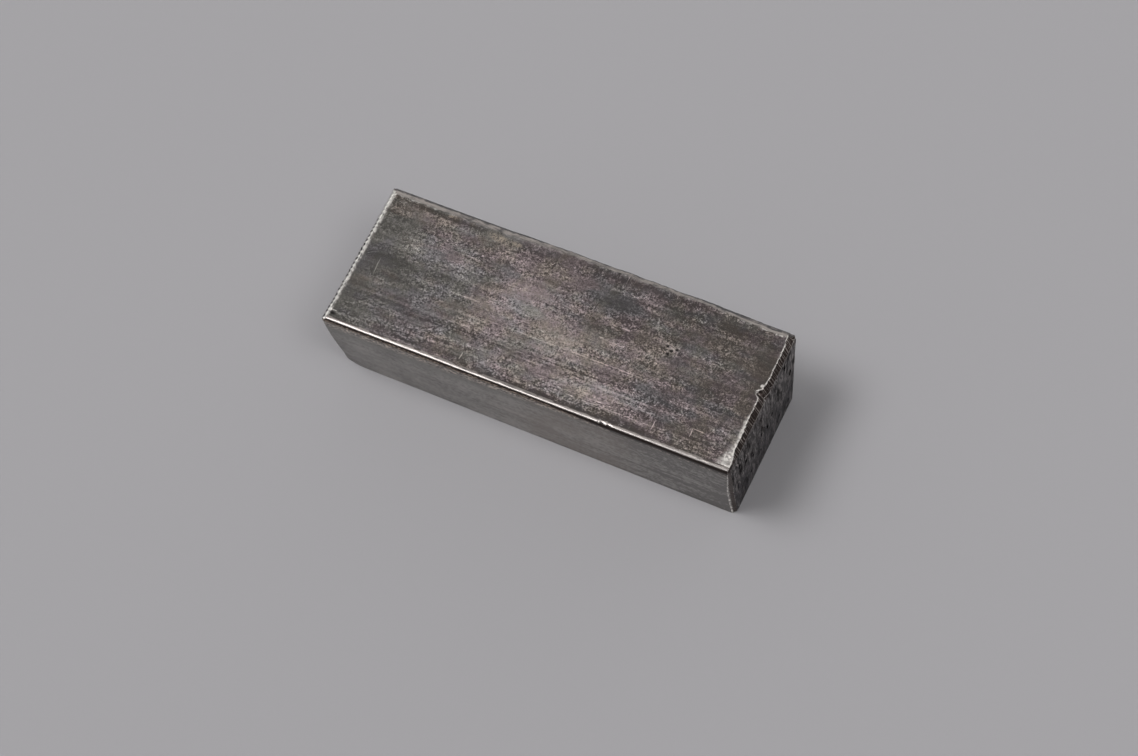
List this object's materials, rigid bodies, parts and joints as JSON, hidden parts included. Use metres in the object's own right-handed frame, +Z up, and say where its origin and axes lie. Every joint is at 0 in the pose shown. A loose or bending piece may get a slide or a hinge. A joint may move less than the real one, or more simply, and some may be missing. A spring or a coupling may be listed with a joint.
{
  "type": "cast metal ingot",
  "caption": "Small oblong cast metal bar, wider at the top than at the foot, with filed and worn edges; raw stock to be melted, forged, rolled or weighed.",
  "frame": {"origin": "centre of the narrow face that the bar lies on", "axes": "+X along the bar towards its filed end, +Y across it towards the scraped long edge, +Z up"},
  "size_m": [0.05, 0.0186, 0.0131],
  "materials": {
    "dark_metal": "satin"
  },
  "bodies": {
    "root": {"ingot": "dark_metal"}
  },
  "joints": []
}
